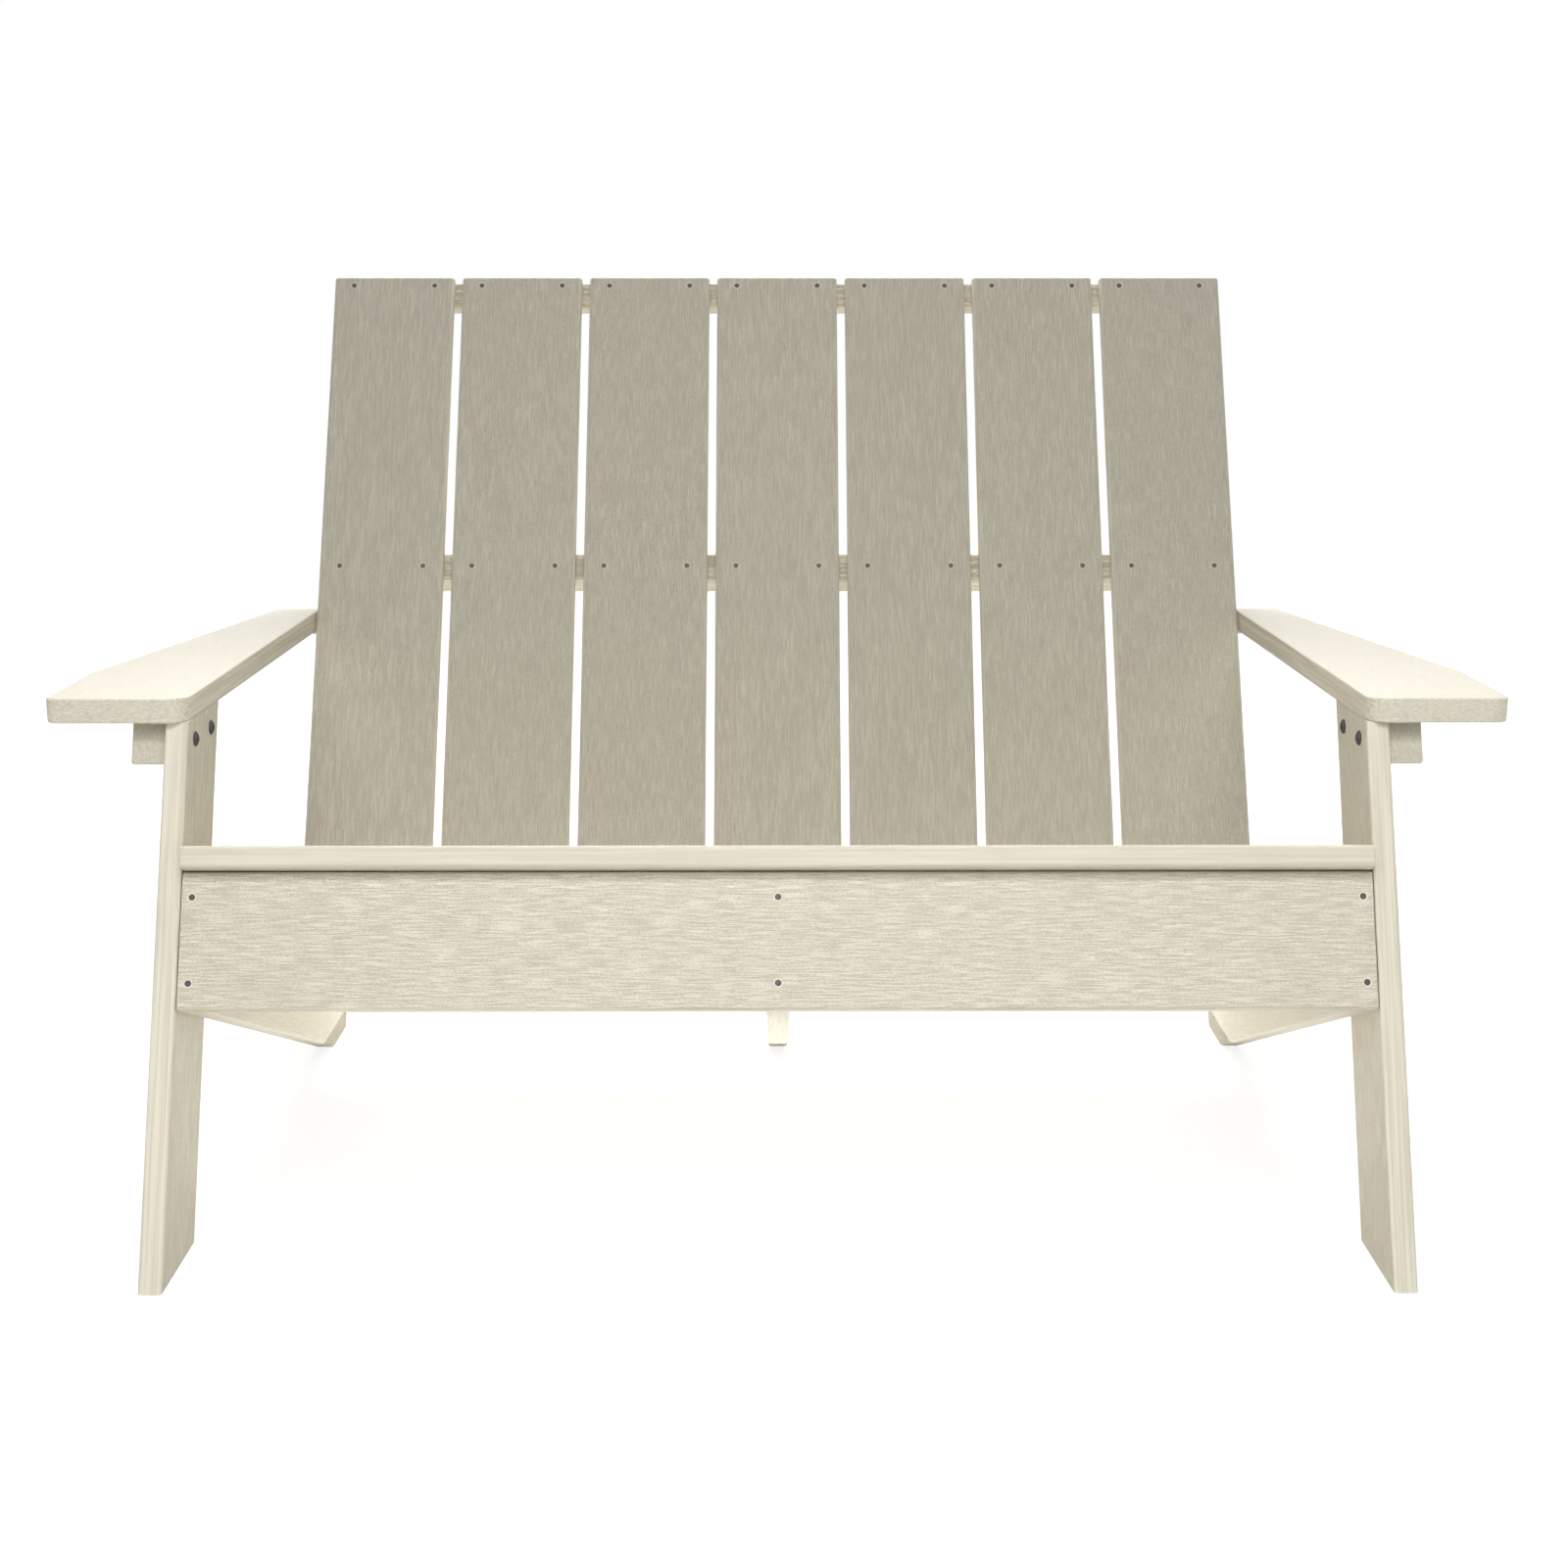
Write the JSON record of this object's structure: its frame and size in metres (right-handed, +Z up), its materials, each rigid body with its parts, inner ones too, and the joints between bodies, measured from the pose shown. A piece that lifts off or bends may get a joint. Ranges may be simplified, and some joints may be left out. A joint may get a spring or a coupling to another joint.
{
  "type": "patio loveseat",
  "caption": "Slatted garden loveseat with a reclined slatted back, a raked seat, broad tapered arms and raked front legs, in grained cream plastic boards.",
  "frame": {"origin": "on the floor under the middle of the bench's bounding box", "axes": "+Z up, X across the seat, the front towards -Y"},
  "size_m": [1.2904, 0.9428, 0.8456],
  "materials": {
    "board": "matt, with an embossed wood grain",
    "fastener": "dark grey coating, low sheen",
    "bracket": "satin stainless steel"
  },
  "bodies": {
    "root": {"leg_left": "board", "leg_right": "board", "stringer_left": "board", "stringer_center": "board", "stringer_right": "board", "apron": "board", "seat_slat_1": "board", "seat_slat_2": "board", "seat_slat_3": "board", "seat_slat_4": "board", "seat_slat_5": "board", "back_slat_1": "board", "back_slat_2": "board", "back_slat_3": "board", "back_slat_4": "board", "back_slat_5": "board", "back_slat_6": "board", "back_slat_7": "board", "top_rail": "board", "middle_rail": "board", "lower_rail": "board", "upright_left": "board", "upright_center": "board", "upright_right": "board", "arm_left": "board", "arm_right": "board", "arm_block_left": "board", "arm_block_right": "board", "arm_bracket_left": "bracket", "arm_bracket_right": "bracket", "arm_block_bolts": "fastener", "lap_bolts": "fastener", "bolt_washers": "fastener", "bolt_nuts": "fastener", "slat_screws": "fastener", "apron_screws": "fastener", "seat_screws": "fastener", "rail_screws": "fastener", "block_screws": "fastener", "bracket_screws": "fastener"}
  },
  "joints": []
}
